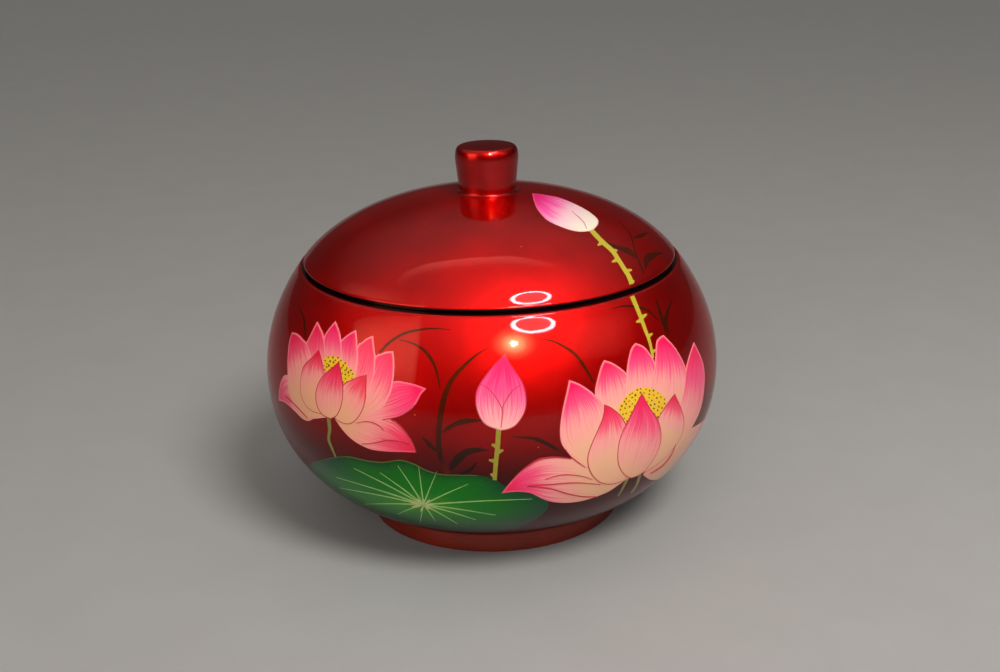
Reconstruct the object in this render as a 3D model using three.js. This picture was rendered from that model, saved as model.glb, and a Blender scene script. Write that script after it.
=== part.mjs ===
// A round lidded bowl of turned wood under red lacquer: a deep bulging bowl on a
// glued foot ring, a domed lid with a black locating ring round its mouth, and a
// turned knob on a dowel. Millimetres, +Z up, the foot stands on z = 0 and every
// piece is turned about the Z axis.

import * as THREE from 'three';

// Bowl, outside
const bellyRadius = 90;
const bellyHeight = 61.5;
const undersideRadius = 50.5;
const undersideRise = THREE.MathUtils.degToRad(23.7);
const undersideReach = 21.4;
const bellyDrop = 29.9;
const shoulderRise = 20;
const shoulderReach = 10.1;

// Seam between bowl and lid
const seamHeight = 104.4;
const seamRadius = 73.9;
const seamLean = THREE.MathUtils.degToRad(38.4);
const grooveHeight = 1.5;
const bowlLipRound = 0.8;
const bowlLipDrop = 0.7;
const lidLipRound = 1.4;
const lidLipRise = 1.1;

// Lid, outside
const crownHeight = 130.6;
const lidReach = 16.5;
const crownReach = 40.3;

// Walls and mouth
const bowlWall = 4.5;
const floorThickness = 4.1;
const lidWall = 4;
const rimWidth = 5;
const mouthLand = 3;
const mouthBead = 8;
const edgeBreak = 0.5;

// Foot ring
const footRadius = 51.3;
const footTaper = 1.3;
const footHeight = 6.9;
const footWidth = 6;
const footEdge = 0.6;
const bossHeight = 1.5;

// Locating ring under the lid
const collarClearance = 0.5;
const collarDrop = 7;
const collarLeadIn = 1.2;
const ringWall = 3;
const flangeInset = 0.8;
const tongueInset = 1.7;
const tongueHeight = 2;

// Knob and its dowel
const knobRadius = 12.3;
const knobHeight = 17.9;
const knobBaseRadius = 11.1;
const knobNeckRadius = 9.9;
const knobNeckHeight = 1.1;
const knobTopRound = 2.2;
const knobTopDrop = 4.5;
const knobTopCrown = 0.4;
const knobSeatMargin = 0.5;
const dowelRadius = 3;
const dowelInKnob = 9;
const dowelClearance = 0.2;

// Gap between pieces that are glued or that rest on each other
const seatGap = 0.3;

// Facets round a turned piece, and steps along one curve of its outline
const facets = 60;
const outerSteps = 9;
const innerSteps = 7;
const roundSteps = 4;

// A point of an outline
const point = (radius, height) => new THREE.Vector2(radius, height);

// Heights that follow from the sizes above
const rimHeight = seamHeight - grooveHeight / 2;
const lidEdgeHeight = seamHeight + grooveHeight / 2;
const bowlBaseHeight = footHeight + seatGap;
const bossBottom = bowlBaseHeight - bossHeight;

// The outside of bowl and lid: three curves that run on from one another without
// a bend. The lid goes on along the slope that the bowl's shoulder has at the seam.
const seamSlope = point(-Math.sin(seamLean), Math.cos(seamLean));
const seamPoint = point(seamRadius, seamHeight);

const underside = new THREE.CubicBezierCurve(
  point(undersideRadius, bowlBaseHeight),
  point(
    undersideRadius + undersideReach * Math.cos(undersideRise),
    bowlBaseHeight + undersideReach * Math.sin(undersideRise),
  ),
  point(bellyRadius, bellyHeight - bellyDrop),
  point(bellyRadius, bellyHeight),
);

const shoulder = new THREE.CubicBezierCurve(
  point(bellyRadius, bellyHeight),
  point(bellyRadius, bellyHeight + shoulderRise),
  seamPoint.clone().addScaledVector(seamSlope, -shoulderReach),
  seamPoint,
);

const dome = new THREE.CubicBezierCurve(
  seamPoint,
  seamPoint.clone().addScaledVector(seamSlope, lidReach),
  point(crownReach, crownHeight),
  point(0, crownHeight),
);

// The point of a curve at parameter t, moved inwards by the wall's thickness.
function insidePoint(curve, t, wall) {
  const tangent = curve.getTangent(t);
  return curve.getPoint(t).add(point(-tangent.y * wall, tangent.x * wall));
}

// The parameter at which a value that rises along a curve passes zero.
function parameterWhere(value) {
  let low = 0;
  let high = 1;
  for (let step = 0; step < 40; step += 1) {
    const middle = (low + high) / 2;
    if (value(middle) < 0) low = middle;
    else high = middle;
  }
  return (low + high) / 2;
}

// Points at even steps from one parameter to another, both ends included.
function steps(from, to, count, pointAt) {
  return Array.from({ length: count + 1 }, (_, i) => pointAt(from + ((to - from) * i) / count));
}

// A rounded corner from one point to another, with the sharp corner between them.
function rounded(start, corner, end) {
  const curve = new THREE.QuadraticBezierCurve(start, corner, end);
  return steps(0, 1, roundSteps, (t) => curve.getPoint(t));
}

// Turns an outline round the Z axis. The outline runs anticlockwise, seen with
// radius to the right and height up, and starts and ends at the same point or on
// the axis.
function turned(name, outline, look) {
  const points = outline.filter((p, i) => i === 0 || p.distanceTo(outline[i - 1]) > 1e-6);
  const geometry = new THREE.LatheGeometry(points, facets);
  geometry.rotateX(Math.PI / 2);
  const mesh = new THREE.Mesh(geometry, new THREE.MeshStandardMaterial(look));
  mesh.name = name;
  return mesh;
}

// Radii that follow from where the outside crosses the edges of the groove
const rimCorner = shoulder.getPoint(parameterWhere((t) => shoulder.getPoint(t).y - rimHeight));
const lidCorner = dome.getPoint(parameterWhere((t) => dome.getPoint(t).y - lidEdgeHeight));
const rimEdgeRadius = rimCorner.x - bowlLipRound;
const lidEdgeRadius = lidCorner.x - lidLipRound;
const mouthRadius = rimEdgeRadius - rimWidth;
const collarRadius = mouthRadius - collarClearance;
const tongueRadius = collarRadius - tongueInset;
const ringInnerRadius = tongueRadius - ringWall;
const flangeRadius = Math.min(rimEdgeRadius, lidEdgeRadius) - flangeInset;
const footInnerRadius = footRadius - footWidth;

// The small flat on the crown that the knob stands on, and the dowel's hole
const seatRadius = knobNeckRadius + knobSeatMargin;
const seatParameter = parameterWhere((t) => seatRadius - dome.getPoint(t).x);
const seatHeight = dome.getPoint(seatParameter).y;
const holeRadius = dowelRadius + dowelClearance;
const knobBottom = seatHeight + seatGap;
const dowelTop = knobBottom + dowelInKnob;

const redLacquer = { color: 0x8c1410, roughness: 0.12, metalness: 0.1 };
const blackLacquer = { color: 0x0b0908, roughness: 0.2, metalness: 0 };
const bareWood = { color: 0xb98a55, roughness: 0.7, metalness: 0 };

// Foot ring: a plain turned ring, a little wider at the floor, glued round the
// boss under the bowl.
function footRing() {
  const topRadius = footRadius - footTaper;
  const outline = [
    point(footInnerRadius + footEdge, 0),
    ...rounded(
      point(footRadius - footEdge, 0),
      point(footRadius, 0),
      point(footRadius - (footTaper * footEdge) / footHeight, footEdge),
    ),
    point(topRadius, footHeight),
    point(footInnerRadius, footHeight),
    point(footInnerRadius, footEdge),
    point(footInnerRadius + footEdge, 0),
  ];
  return turned('foot_ring', outline, redLacquer);
}

// Bowl: one even wall that follows the outside, a rim thickened inwards into a
// short upright mouth, and a shallow boss underneath that centres the foot ring.
function bowlShell() {
  const bossRadius = footInnerRadius - seatGap;
  const lipStart = parameterWhere((t) => shoulder.getPoint(t).y - (rimHeight - bowlLipDrop));
  const beadStart = parameterWhere(
    (t) => insidePoint(shoulder, t, bowlWall).y - (rimHeight - mouthBead),
  );
  const wallStart = insidePoint(underside, 0, bowlWall);
  const floorHeight = bossBottom + floorThickness;
  const floorBend = wallStart.x - (wallStart.y - floorHeight) / Math.tan(undersideRise);
  const floor = new THREE.QuadraticBezierCurve(
    wallStart,
    point(floorBend, floorHeight),
    point(floorBend - undersideReach, floorHeight),
  );
  const outline = [
    point(0, bossBottom),
    point(bossRadius, bossBottom),
    point(bossRadius, bowlBaseHeight),
    ...steps(0, 1, outerSteps, (t) => underside.getPoint(t)),
    ...steps(0, lipStart, outerSteps, (t) => shoulder.getPoint(t)),
    ...rounded(shoulder.getPoint(lipStart), rimCorner, point(rimEdgeRadius, rimHeight)),
    point(mouthRadius + edgeBreak, rimHeight),
    point(mouthRadius, rimHeight - edgeBreak),
    point(mouthRadius, rimHeight - mouthLand),
    ...steps(beadStart, 0, innerSteps, (t) => insidePoint(shoulder, t, bowlWall)),
    ...steps(1, 0, innerSteps, (t) => insidePoint(underside, t, bowlWall)),
    ...steps(0, 1, roundSteps, (t) => floor.getPoint(t)),
    point(0, floorHeight),
  ];
  return turned('bowl_shell', outline, redLacquer);
}

// Lid: a dome of even wall. Its edge has a rebate for the ring's tongue, its crown
// a small flat for the knob and a hole for the dowel.
function lidShell() {
  const rebateRadius = tongueRadius + seatGap;
  const rebateTop = lidEdgeHeight + tongueHeight + seatGap;
  const lipEnd = parameterWhere((t) => dome.getPoint(t).y - (lidEdgeHeight + lidLipRise));
  const holeInside = parameterWhere((t) => holeRadius - insidePoint(dome, t, lidWall).x);
  const insideStart = parameterWhere((t) => insidePoint(dome, t, lidWall).y - rebateTop);
  const outline = [
    point(rebateRadius, lidEdgeHeight),
    ...rounded(point(lidEdgeRadius, lidEdgeHeight), lidCorner, dome.getPoint(lipEnd)),
    ...steps(lipEnd, seatParameter, 2 * outerSteps, (t) => dome.getPoint(t)),
    point(holeRadius, seatHeight),
    ...steps(holeInside, insideStart, innerSteps, (t) => insidePoint(dome, t, lidWall)),
    point(rebateRadius, rebateTop),
    point(rebateRadius, lidEdgeHeight),
  ];
  return turned('lid_shell', outline, redLacquer);
}

// Locating ring: its flange rests on the bowl's rim and carries the lid's edge,
// its collar drops into the mouth and its tongue is glued into the lid.
function lidRing() {
  const flangeBottom = rimHeight + seatGap;
  const flangeTop = lidEdgeHeight - seatGap;
  const collarBottom = rimHeight - collarDrop;
  const tongueTop = lidEdgeHeight + tongueHeight;
  const outline = [
    point(ringInnerRadius, collarBottom),
    point(collarRadius - collarLeadIn, collarBottom),
    point(collarRadius, collarBottom + collarLeadIn),
    point(collarRadius, flangeBottom),
    point(flangeRadius, flangeBottom),
    point(flangeRadius, flangeTop),
    point(tongueRadius, flangeTop),
    point(tongueRadius, tongueTop),
    point(ringInnerRadius, tongueTop),
    point(ringInnerRadius, collarBottom),
  ];
  return turned('lid_ring', outline, blackLacquer);
}

// Knob: a drum that flares a little upwards, its top edge well rounded, drawn in to
// a short neck at the foot, with a blind hole for the dowel.
function knob() {
  const top = crownHeight + knobHeight;
  const topEdge = top - knobTopCrown;
  const side = topEdge - knobTopDrop;
  const holeTop = dowelTop + seatGap;
  const outline = [
    point(holeRadius, knobBottom),
    ...rounded(
      point(knobNeckRadius, knobBottom),
      point(knobBaseRadius, knobBottom),
      point(knobBaseRadius, knobBottom + knobNeckHeight),
    ),
    ...rounded(
      point(knobRadius, side),
      point(knobRadius, topEdge),
      point(knobRadius - knobTopRound, topEdge),
    ),
    point(0, top),
    point(0, holeTop),
    point(holeRadius, holeTop),
    point(holeRadius, knobBottom),
  ];
  return turned('knob', outline, redLacquer);
}

// Dowel: glued through the lid's crown and up into the knob.
function knobDowel() {
  const bottom = crownHeight - lidWall;
  const outline = [
    point(0, bottom),
    point(dowelRadius, bottom),
    point(dowelRadius, dowelTop),
    point(0, dowelTop),
  ];
  return turned('knob_dowel', outline, bareWood);
}

const lid = new THREE.Group();
lid.add(lidShell(), lidRing(), knob(), knobDowel());

const bowl = new THREE.Group();
bowl.add(footRing(), bowlShell());

const liddedBowl = new THREE.Group();
liddedBowl.add(bowl, lid);

export default liddedBowl;
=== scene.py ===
# A round lidded bowl of turned wood in red lacquer, painted with lotus flowers, buds,
# a leaf and grasses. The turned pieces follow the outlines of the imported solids, only
# finer. The painting lies on the lacquer as thin layers of paint under the same gloss,
# and each stroke is placed by the pixels of the photograph that it covers.

import math

import bmesh
import bpy
import numpy as np
from mathutils import Matrix, Vector


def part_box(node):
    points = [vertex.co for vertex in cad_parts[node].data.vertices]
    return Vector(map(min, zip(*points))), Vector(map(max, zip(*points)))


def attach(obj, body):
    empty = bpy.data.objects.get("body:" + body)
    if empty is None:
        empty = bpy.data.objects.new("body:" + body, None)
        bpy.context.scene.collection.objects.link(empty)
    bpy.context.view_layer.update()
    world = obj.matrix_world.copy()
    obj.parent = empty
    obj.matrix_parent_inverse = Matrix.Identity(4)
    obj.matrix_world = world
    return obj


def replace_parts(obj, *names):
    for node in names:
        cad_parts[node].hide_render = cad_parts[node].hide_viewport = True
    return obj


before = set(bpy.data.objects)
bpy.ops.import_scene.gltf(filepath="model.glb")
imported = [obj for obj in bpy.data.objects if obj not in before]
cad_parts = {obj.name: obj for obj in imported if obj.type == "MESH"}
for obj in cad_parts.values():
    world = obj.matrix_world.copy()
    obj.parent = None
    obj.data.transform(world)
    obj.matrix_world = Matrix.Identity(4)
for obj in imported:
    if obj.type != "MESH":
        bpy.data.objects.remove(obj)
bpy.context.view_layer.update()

MM = 0.001

# Camera, as it stood for the photograph
IMAGE_WIDTH = 1000
IMAGE_HEIGHT = 672
FOCAL_PIXELS = 1400
SENSOR_WIDTH = 36
CAMERA_PLACE = np.array([0, -0.5323, 0.2572])
CAMERA_PITCH = math.radians(19.36)
CAMERA_YAW = math.radians(0.374)
CAMERA_ROLL = math.radians(-1.393)

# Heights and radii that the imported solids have
bowl_low, bowl_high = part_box("bowl_shell")
foot_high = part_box("foot_ring")[1]
lid_low, lid_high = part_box("lid_shell")
ring_low, ring_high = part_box("lid_ring")
knob_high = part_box("knob")[1]

SEAT_GAP = 0.3 * MM
BELLY_RADIUS = bowl_high.x
RIM_HEIGHT = bowl_high.z
LID_EDGE_HEIGHT = lid_low.z
SEAT_HEIGHT = lid_high.z
FOOT_HEIGHT = foot_high.z
FOOT_RADIUS = foot_high.x
KNOB_RADIUS = knob_high.x
KNOB_TOP = knob_high.z
BOSS_BOTTOM = bowl_low.z

# Curves of the bowl's and the lid's outside
BELLY_HEIGHT = 61.5 * MM
UNDERSIDE_RADIUS = 50.5 * MM
UNDERSIDE_RISE = math.radians(23.7)
UNDERSIDE_REACH = 21.4 * MM
BELLY_DROP = 29.9 * MM
SHOULDER_RISE = 20 * MM
SHOULDER_REACH = 10.1 * MM
SEAM_RADIUS = 73.9 * MM
SEAM_LEAN = math.radians(38.4)
BOWL_LIP_ROUND = 0.8 * MM
BOWL_LIP_DROP = 0.7 * MM
LID_LIP_ROUND = 1.4 * MM
LID_LIP_RISE = 1.1 * MM
LID_REACH = 16.5 * MM
CROWN_REACH = 40.3 * MM
KNOB_HEIGHT = 17.9 * MM

# Walls, mouth, foot, ring and knob
BOWL_WALL = 4.5 * MM
FLOOR_THICKNESS = 4.1 * MM
LID_WALL = 4 * MM
RIM_WIDTH = 5 * MM
MOUTH_LAND = 3 * MM
MOUTH_BEAD = 8 * MM
EDGE_BREAK = 0.5 * MM
FOOT_TAPER = 1.3 * MM
FOOT_WIDTH = 6 * MM
FOOT_EDGE = 0.6 * MM
COLLAR_CLEARANCE = 0.5 * MM
COLLAR_LEAD_IN = 1.2 * MM
RING_WALL = 3 * MM
FLANGE_INSET = 0.8 * MM
TONGUE_INSET = 1.7 * MM
TONGUE_HEIGHT = 2 * MM
KNOB_BASE_RADIUS = 11.1 * MM
KNOB_NECK_RADIUS = 9.9 * MM
KNOB_NECK_HEIGHT = 1.1 * MM
KNOB_TOP_ROUND = 2.2 * MM
KNOB_TOP_DROP = 4.5 * MM
KNOB_TOP_CROWN = 0.4 * MM
KNOB_SEAT_MARGIN = 0.5 * MM
FILLET_WIDTH = 1.3 * MM
DOWEL_HOLE_RADIUS = 3.2 * MM
DOWEL_HOLE_DEPTH = 9.3 * MM

# Fineness of the turned pieces and of the lines that are painted
SEGMENTS = 224
CURVE_STEPS = 36
ROUND_STEPS = 8
CURVE_SAMPLES = 4001
LINE_STEPS = 12
MERGE_DISTANCE = 1e-7
SMALLEST_SQUARE = 1e-18
SHARP_ANGLE = math.radians(32)

# Paint: how far the lowest layer stands proud of the lacquer, how far each layer stands
# proud of the one below, and how deep they all reach in
PAINT_STEP = 0.018 * MM
PAINT_LIFT = 1.5 * PAINT_STEP
PAINT_ROOT = -0.02 * MM

# The layers that the kinds of strokes start on
GRASS_LAYER = 0
LEAF_LAYER = 1
STEM_LAYER = 3
FLOWER_LAYER = 4
BUD_LAYER = 5


def point(radius, height):
    """A point of an outline."""
    return np.array([radius, height], float)


def cubic(start, start_handle, end_handle, end, t):
    """Points of a cubic Bezier curve at the parameters t."""
    t = np.asarray(t, float)[:, None]
    s = 1 - t
    return s**3 * start + 3 * s**2 * t * start_handle + 3 * s * t**2 * end_handle + t**3 * end


def underside(t):
    base = point(UNDERSIDE_RADIUS, FOOT_HEIGHT + SEAT_GAP)
    rise = point(math.cos(UNDERSIDE_RISE), math.sin(UNDERSIDE_RISE))
    belly = point(BELLY_RADIUS, BELLY_HEIGHT)
    return cubic(base, base + UNDERSIDE_REACH * rise, belly - point(0, BELLY_DROP), belly, t)


SEAM_POINT = point(SEAM_RADIUS, (RIM_HEIGHT + LID_EDGE_HEIGHT) / 2)
SEAM_SLOPE = point(-math.sin(SEAM_LEAN), math.cos(SEAM_LEAN))


def shoulder(t):
    belly = point(BELLY_RADIUS, BELLY_HEIGHT)
    handle = SEAM_POINT - SHOULDER_REACH * SEAM_SLOPE
    return cubic(belly, belly + point(0, SHOULDER_RISE), handle, SEAM_POINT, t)


def dome(t):
    crown_height = KNOB_TOP - KNOB_HEIGHT
    handle = SEAM_POINT + LID_REACH * SEAM_SLOPE
    return cubic(SEAM_POINT, handle, point(CROWN_REACH, crown_height), point(0, crown_height), t)


def inside(curve, wall):
    """The same curve moved inwards by the wall's thickness."""

    def moved(t):
        t = np.asarray(t, float)
        small = 1e-4
        ahead = curve(np.minimum(t + small, 1)) - curve(np.maximum(t - small, 0))
        tangent = ahead / np.linalg.norm(ahead, axis=1)[:, None]
        return curve(t) + wall * np.stack([-tangent[:, 1], tangent[:, 0]], axis=1)

    return moved


def parameter_where(curve, axis, value):
    """The parameter at which a curve's radius (axis 0) or height (axis 1) is value."""
    t = np.linspace(0, 1, CURVE_SAMPLES)
    found = curve(t)[:, axis]
    order = np.argsort(found)
    return float(np.interp(value, found[order], t[order]))


def rounded(start, corner, end):
    """A rounded corner from one point to another, with the sharp corner between them."""
    t = np.linspace(0, 1, ROUND_STEPS + 1)[:, None]
    return (1 - t) ** 2 * start + 2 * (1 - t) * t * corner + t**2 * end


def even(start, end, count):
    """Even steps of a curve's parameter, both ends included."""
    return np.linspace(start, end, count + 1)


# Radii that follow from where the outside crosses the two edges of the groove
RIM_CORNER = point(shoulder([parameter_where(shoulder, 1, RIM_HEIGHT)])[0][0], RIM_HEIGHT)
LID_CORNER = point(dome([parameter_where(dome, 1, LID_EDGE_HEIGHT)])[0][0], LID_EDGE_HEIGHT)
RIM_EDGE_RADIUS = RIM_CORNER[0] - BOWL_LIP_ROUND
LID_EDGE_RADIUS = LID_CORNER[0] - LID_LIP_ROUND
MOUTH_RADIUS = RIM_EDGE_RADIUS - RIM_WIDTH
COLLAR_RADIUS = MOUTH_RADIUS - COLLAR_CLEARANCE
TONGUE_RADIUS = COLLAR_RADIUS - TONGUE_INSET
RING_INNER_RADIUS = TONGUE_RADIUS - RING_WALL
FLANGE_RADIUS = min(RIM_EDGE_RADIUS, LID_EDGE_RADIUS) - FLANGE_INSET
FOOT_INNER_RADIUS = FOOT_RADIUS - FOOT_WIDTH
SEAT_RADIUS = KNOB_NECK_RADIUS + KNOB_SEAT_MARGIN


def bowl_outside():
    """The bowl's lacquered outside, from the foot up to the top of the rounded lip."""
    lip_start = parameter_where(shoulder, 1, RIM_HEIGHT - BOWL_LIP_DROP)
    return np.vstack([
        underside(even(0, 1, CURVE_STEPS)),
        shoulder(even(0, lip_start, CURVE_STEPS))[1:],
        rounded(shoulder([lip_start])[0], RIM_CORNER, (RIM_EDGE_RADIUS, RIM_HEIGHT))[1:],
    ])


def lid_outside():
    """The lid's lacquered outside, from its rounded edge to the flat under the knob."""
    lip_end = parameter_where(dome, 1, LID_EDGE_HEIGHT + LID_LIP_RISE)
    seat = parameter_where(dome, 0, SEAT_RADIUS)
    edge = (LID_EDGE_RADIUS, LID_EDGE_HEIGHT)
    return np.vstack([
        rounded(edge, LID_CORNER, dome([lip_end])[0]),
        dome(even(lip_end, seat, 2 * CURVE_STEPS))[1:],
    ])


def bowl_inside():
    """From the lip's inner edge down the wall to the middle of the floor."""
    bead_start = parameter_where(inside(shoulder, BOWL_WALL), 1, RIM_HEIGHT - MOUTH_BEAD)
    wall_start = inside(underside, BOWL_WALL)([0])[0]
    floor_height = BOSS_BOTTOM + FLOOR_THICKNESS
    floor_bend = wall_start[0] - (wall_start[1] - floor_height) / math.tan(UNDERSIDE_RISE)
    floor_edge = floor_bend - UNDERSIDE_REACH
    return np.vstack([
        (MOUTH_RADIUS + EDGE_BREAK, RIM_HEIGHT),
        (MOUTH_RADIUS, RIM_HEIGHT - EDGE_BREAK),
        (MOUTH_RADIUS, RIM_HEIGHT - MOUTH_LAND),
        inside(shoulder, BOWL_WALL)(even(bead_start, 0, CURVE_STEPS // 2)),
        inside(underside, BOWL_WALL)(even(1, 0, CURVE_STEPS // 2))[1:],
        rounded(wall_start, (floor_bend, floor_height), (floor_edge, floor_height))[1:],
        (0, floor_height),
    ])


def lid_inside():
    """From the flat under the knob, through the dowel's hole and down to the lid's edge."""
    rebate_radius = TONGUE_RADIUS + SEAT_GAP
    rebate_top = LID_EDGE_HEIGHT + TONGUE_HEIGHT + SEAT_GAP
    inner = inside(dome, LID_WALL)
    hole = parameter_where(inner, 0, DOWEL_HOLE_RADIUS)
    start = parameter_where(inner, 1, rebate_top)
    return np.vstack([
        (DOWEL_HOLE_RADIUS, SEAT_HEIGHT),
        inner(even(hole, start, CURVE_STEPS)),
        (rebate_radius, rebate_top),
        (rebate_radius, LID_EDGE_HEIGHT),
        (LID_EDGE_RADIUS, LID_EDGE_HEIGHT),
    ])


def lid_ring_outline():
    flange_bottom = RIM_HEIGHT + SEAT_GAP
    flange_top = LID_EDGE_HEIGHT - SEAT_GAP
    return np.vstack([
        (RING_INNER_RADIUS, ring_low.z),
        (COLLAR_RADIUS - COLLAR_LEAD_IN, ring_low.z),
        (COLLAR_RADIUS, ring_low.z + COLLAR_LEAD_IN),
        (COLLAR_RADIUS, flange_bottom),
        (FLANGE_RADIUS, flange_bottom),
        (FLANGE_RADIUS, flange_top),
        (TONGUE_RADIUS, flange_top),
        (TONGUE_RADIUS, ring_high.z),
        (RING_INNER_RADIUS, ring_high.z),
        (RING_INNER_RADIUS, ring_low.z),
    ])


def knob_outline():
    """The knob, brought down to its seat so that the glue line is closed, with a fillet of
    lacquer round it."""
    top_edge = KNOB_TOP - KNOB_TOP_CROWN
    hole_top = SEAT_HEIGHT + SEAT_GAP + DOWEL_HOLE_DEPTH
    fillet_foot = dome([parameter_where(dome, 0, KNOB_BASE_RADIUS + FILLET_WIDTH)])[0]
    return np.vstack([
        (DOWEL_HOLE_RADIUS, SEAT_HEIGHT),
        (KNOB_NECK_RADIUS, SEAT_HEIGHT),
        rounded(fillet_foot, (KNOB_BASE_RADIUS, SEAT_HEIGHT),
                (KNOB_BASE_RADIUS, SEAT_HEIGHT + SEAT_GAP + KNOB_NECK_HEIGHT)),
        rounded((KNOB_RADIUS, top_edge - KNOB_TOP_DROP), (KNOB_RADIUS, top_edge),
                (KNOB_RADIUS - KNOB_TOP_ROUND, top_edge)),
        (0, KNOB_TOP),
        (0, hole_top),
        (DOWEL_HOLE_RADIUS, hole_top),
        (DOWEL_HOLE_RADIUS, SEAT_HEIGHT),
    ])


def foot_outline():
    return np.vstack([
        (FOOT_INNER_RADIUS + FOOT_EDGE, 0),
        rounded((FOOT_RADIUS - FOOT_EDGE, 0), (FOOT_RADIUS, 0),
                (FOOT_RADIUS - FOOT_TAPER * FOOT_EDGE / FOOT_HEIGHT, FOOT_EDGE)),
        (FOOT_RADIUS - FOOT_TAPER, FOOT_HEIGHT),
        (FOOT_INNER_RADIUS, FOOT_HEIGHT),
        (FOOT_INNER_RADIUS, FOOT_EDGE),
        (FOOT_INNER_RADIUS + FOOT_EDGE, 0),
    ])


def bowl_underneath():
    """The boss under the bowl, inside the foot ring."""
    boss_radius = FOOT_INNER_RADIUS - SEAT_GAP
    return np.vstack([
        (0, BOSS_BOTTOM),
        (boss_radius, BOSS_BOTTOM),
        (boss_radius, FOOT_HEIGHT + SEAT_GAP),
    ])


def finished(mesh, name, looks):
    """Merges what coincides, turns the faces outwards, smooths, and makes the object."""
    shape = bmesh.new()
    shape.from_mesh(mesh)
    bmesh.ops.remove_doubles(shape, verts=shape.verts, dist=MERGE_DISTANCE)
    bmesh.ops.recalc_face_normals(shape, faces=shape.faces)
    shape.to_mesh(mesh)
    shape.free()
    mesh.shade_smooth()
    mesh.set_sharp_from_angle(angle=SHARP_ANGLE)
    for look in looks:
        mesh.materials.append(look)
    piece = bpy.data.objects.new(name, mesh)
    bpy.context.scene.collection.objects.link(piece)
    return piece


def grid_faces(rows, columns, wrap):
    """The faces of a grid of points, which closes on itself along its rows if it wraps."""
    around = columns if wrap else columns - 1
    faces = []
    for low in range(0, (rows - 1) * columns, columns):
        high = low + columns
        for i in range(around):
            j = (i + 1) % columns
            faces.append((low + i, low + j, high + j, high + i))
    return faces


def turned(name, sections, looks):
    """Turns an outline round the Z axis. Each section is a stretch of the outline and the
    number of its look."""
    outline = np.vstack([stretch for stretch, _ in sections])
    numbers = np.concatenate([np.full(len(stretch), look) for stretch, look in sections])
    angles = np.linspace(0, 2 * math.pi, SEGMENTS, endpoint=False)
    rows = [np.stack([r * np.cos(angles), r * np.sin(angles), np.full(SEGMENTS, z)], axis=1)
            for r, z in outline]
    mesh = bpy.data.meshes.new(name)
    mesh.from_pydata(np.vstack(rows).tolist(), [], grid_faces(len(outline), SEGMENTS, True))
    mesh.polygons.foreach_set("material_index", np.repeat(numbers[1:], SEGMENTS))
    return finished(mesh, name, looks)


def camera_axes():
    """The camera's right, up and forward directions."""
    forward = np.array([
        math.sin(CAMERA_YAW) * math.cos(CAMERA_PITCH),
        math.cos(CAMERA_YAW) * math.cos(CAMERA_PITCH),
        -math.sin(CAMERA_PITCH),
    ])
    level = np.array([math.cos(CAMERA_YAW), -math.sin(CAMERA_YAW), 0])
    above = np.cross(level, forward)
    right = math.cos(CAMERA_ROLL) * level + math.sin(CAMERA_ROLL) * above
    up = -math.sin(CAMERA_ROLL) * level + math.cos(CAMERA_ROLL) * above
    return right, up, forward


def view_rays(pixels):
    """Unit directions of the view rays through pixels of the photograph."""
    right, up, forward = camera_axes()
    across = (pixels[:, :1] - IMAGE_WIDTH / 2) / FOCAL_PIXELS
    down = (pixels[:, 1:] - IMAGE_HEIGHT / 2) / FOCAL_PIXELS
    rays = forward + across * right - down * up
    return rays / np.linalg.norm(rays, axis=1)[:, None]


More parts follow.
